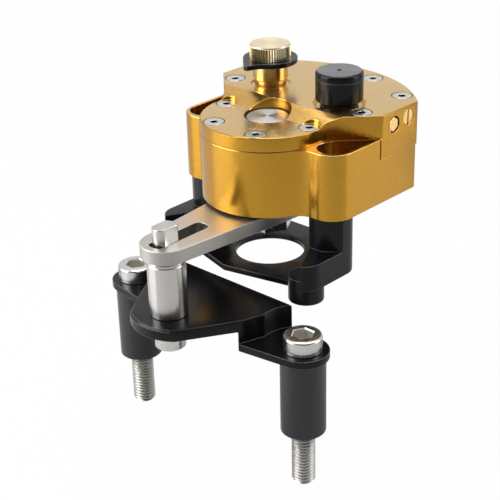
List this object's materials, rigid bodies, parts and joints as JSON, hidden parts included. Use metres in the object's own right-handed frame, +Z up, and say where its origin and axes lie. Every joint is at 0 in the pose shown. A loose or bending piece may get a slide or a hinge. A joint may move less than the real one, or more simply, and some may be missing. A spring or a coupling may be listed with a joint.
{
  "type": "motorcycle steering damper",
  "caption": "Rotary steering damper with gold housing, slotted link arm, tower pin, frame bracket on spacers and a clamp bracket below the body.",
  "frame": {"origin": "on the axis of the vane shaft, at the underside of the housing", "axes": "+Z up along the vane shaft, -Y along the link arm at rest, +X to the side with the reservoir cap"},
  "size_m": [0.1206, 0.1405, 0.1638],
  "materials": {
    "gold_anodised": "gold anodised, milled and brushed",
    "black_anodised": "black anodised, glossy",
    "turned_steel": "turned stainless steel",
    "brushed_plate": "brushed stainless plate",
    "screw_steel": "bright stainless fasteners",
    "spring_steel": "drawn spring wire",
    "knob_brass": "pale brass, knurled side and faced top",
    "bronze": "sintered bronze",
    "piston_aluminium": "turned",
    "seal_rubber": "matt nitrile rubber"
  },
  "bodies": {
    "damper": {"housing": "gold_anodised", "top_cover": "gold_anodised", "cover_screws": "screw_steel", "mount_bolts": "screw_steel", "upper_bush": "bronze", "top_seal": "seal_rubber", "shaft_seal": "seal_rubber", "lower_bush": "bronze", "chamber_seal": "seal_rubber", "clamp_bracket": "black_anodised", "adjuster_collar": "gold_anodised", "collar_seal": "seal_rubber", "detent_ball": "screw_steel", "detent_spring": "spring_steel", "reservoir_cap": "black_anodised", "cap_seal": "seal_rubber", "compensator_spring": "spring_steel", "side_plugs": "gold_anodised"},
    "arm": {"vane_rotor": "turned_steel", "link_arm": "brushed_plate", "arm_washer": "screw_steel", "arm_nut": "screw_steel"},
    "pin": {"tower_pin": "turned_steel"},
    "frame": {"tower_post": "turned_steel", "tower_washer": "screw_steel", "tower_bolt": "screw_steel", "frame_bracket": "black_anodised", "frame_spacers": "black_anodised", "frame_screws": "screw_steel"},
    "knob": {"adjuster_knob": "knob_brass", "knob_lever": "black_anodised", "adjuster_needle": "turned_steel"},
    "left_adjuster": {"sweep_adjuster_left": "gold_anodised"},
    "right_adjuster": {"sweep_adjuster_right": "gold_anodised"},
    "compensator": {"compensator_piston": "piston_aluminium", "piston_ring": "seal_rubber"}
  },
  "joints": [
    {"name": "steering_swing", "type": "hinge", "parent": "damper", "child": "arm", "pos_m": [0, 0, 0], "axis": [0, 0, 1], "range_deg": [-45, 45]},
    {"name": "slot_slide", "type": "slide", "parent": "arm", "child": "pin", "axis": [0, 1, 0], "range_m": [0, 0.015]},
    {"name": "post_swivel", "type": "hinge", "parent": "pin", "child": "frame", "pos_m": [0, -0.062, -0.0077], "axis": [0, 0, 1], "range_deg": [-60, 60]},
    {"name": "damping_knob", "type": "hinge", "parent": "damper", "child": "knob", "pos_m": [-0.0192, 0.0233, 0.0508], "axis": [0, 0, 1], "range_deg": [-150, 150]},
    {"name": "left_sweep", "type": "hinge", "parent": "damper", "child": "left_adjuster", "pos_m": [-0.0452, 0.0374, 0.0339], "axis": [1, 0, 0], "range_deg": [-360, 360]},
    {"name": "right_sweep", "type": "hinge", "parent": "damper", "child": "right_adjuster", "pos_m": [0.0452, 0.0374, 0.0339], "axis": [1, 0, 0], "range_deg": [-360, 360]},
    {"name": "compensation", "type": "slide", "parent": "damper", "child": "compensator", "axis": [0, 0, 1], "range_m": [-0.004, 0.004], "deforming": ["compensator_spring"]}
  ]
}
